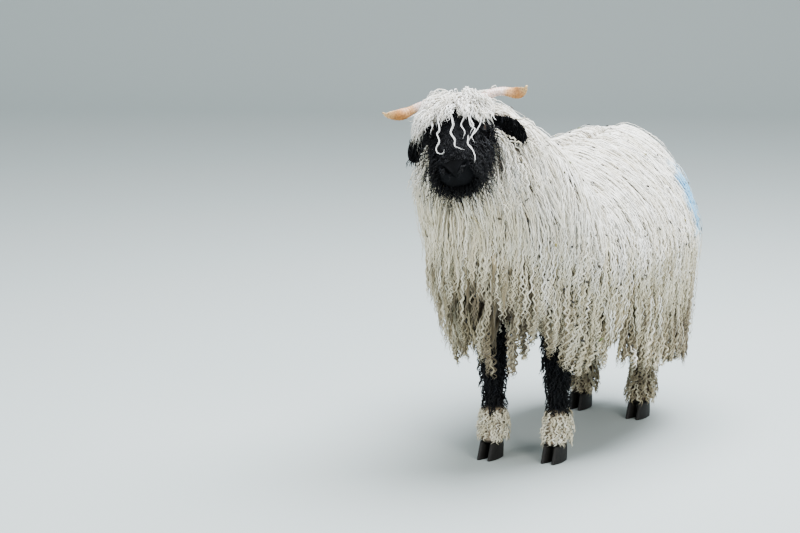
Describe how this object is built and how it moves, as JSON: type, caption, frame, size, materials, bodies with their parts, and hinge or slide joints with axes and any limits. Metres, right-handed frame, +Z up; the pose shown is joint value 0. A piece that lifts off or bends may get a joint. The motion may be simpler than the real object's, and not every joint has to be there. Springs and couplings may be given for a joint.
{
  "type": "valais blacknose ewe, still life-size model",
  "caption": "Standing horned ewe with a long white fleece and black face, ears, knees and hocks, her head raised and turned; a still, life-size display model.",
  "frame": {"origin": "bottom centre of the whole model's box, on the plane that the hooves stand on", "axes": "+Z up; the ewe faces -Y, so +X is her left side; her head is turned to her left"},
  "size_m": [0.6119, 1.2711, 1.0388],
  "materials": {
    "white_fleece": "long, wavy white wool, creamy towards the tips",
    "black_wool": "short, curly black wool",
    "horn": "stands in for horn: pale pink at the root, tan and half matt towards the tip",
    "hoof": "stands in for hoof horn: black, worn matt",
    "eye": "stands in for the wet eye: dark brown and glossy"
  },
  "bodies": {
    "root": {"head": "black_wool", "neck": "white_fleece", "torso_shoulders": "white_fleece", "torso_barrel": "white_fleece", "torso_rump": "white_fleece", "tail": "white_fleece", "ear_left": "black_wool", "eye_left": "eye", "horn_left": "horn", "ear_right": "black_wool", "eye_right": "eye", "horn_right": "horn", "fore_leg_left": "black_wool", "fore_hoof_left_left": "hoof", "fore_hoof_left_right": "hoof", "fore_leg_right": "black_wool", "fore_hoof_right_left": "hoof", "fore_hoof_right_right": "hoof", "hind_leg_left": "black_wool", "hind_hoof_left_left": "hoof", "hind_hoof_left_right": "hoof", "hind_leg_right": "black_wool", "hind_hoof_right_left": "hoof", "hind_hoof_right_right": "hoof"}
  },
  "joints": []
}
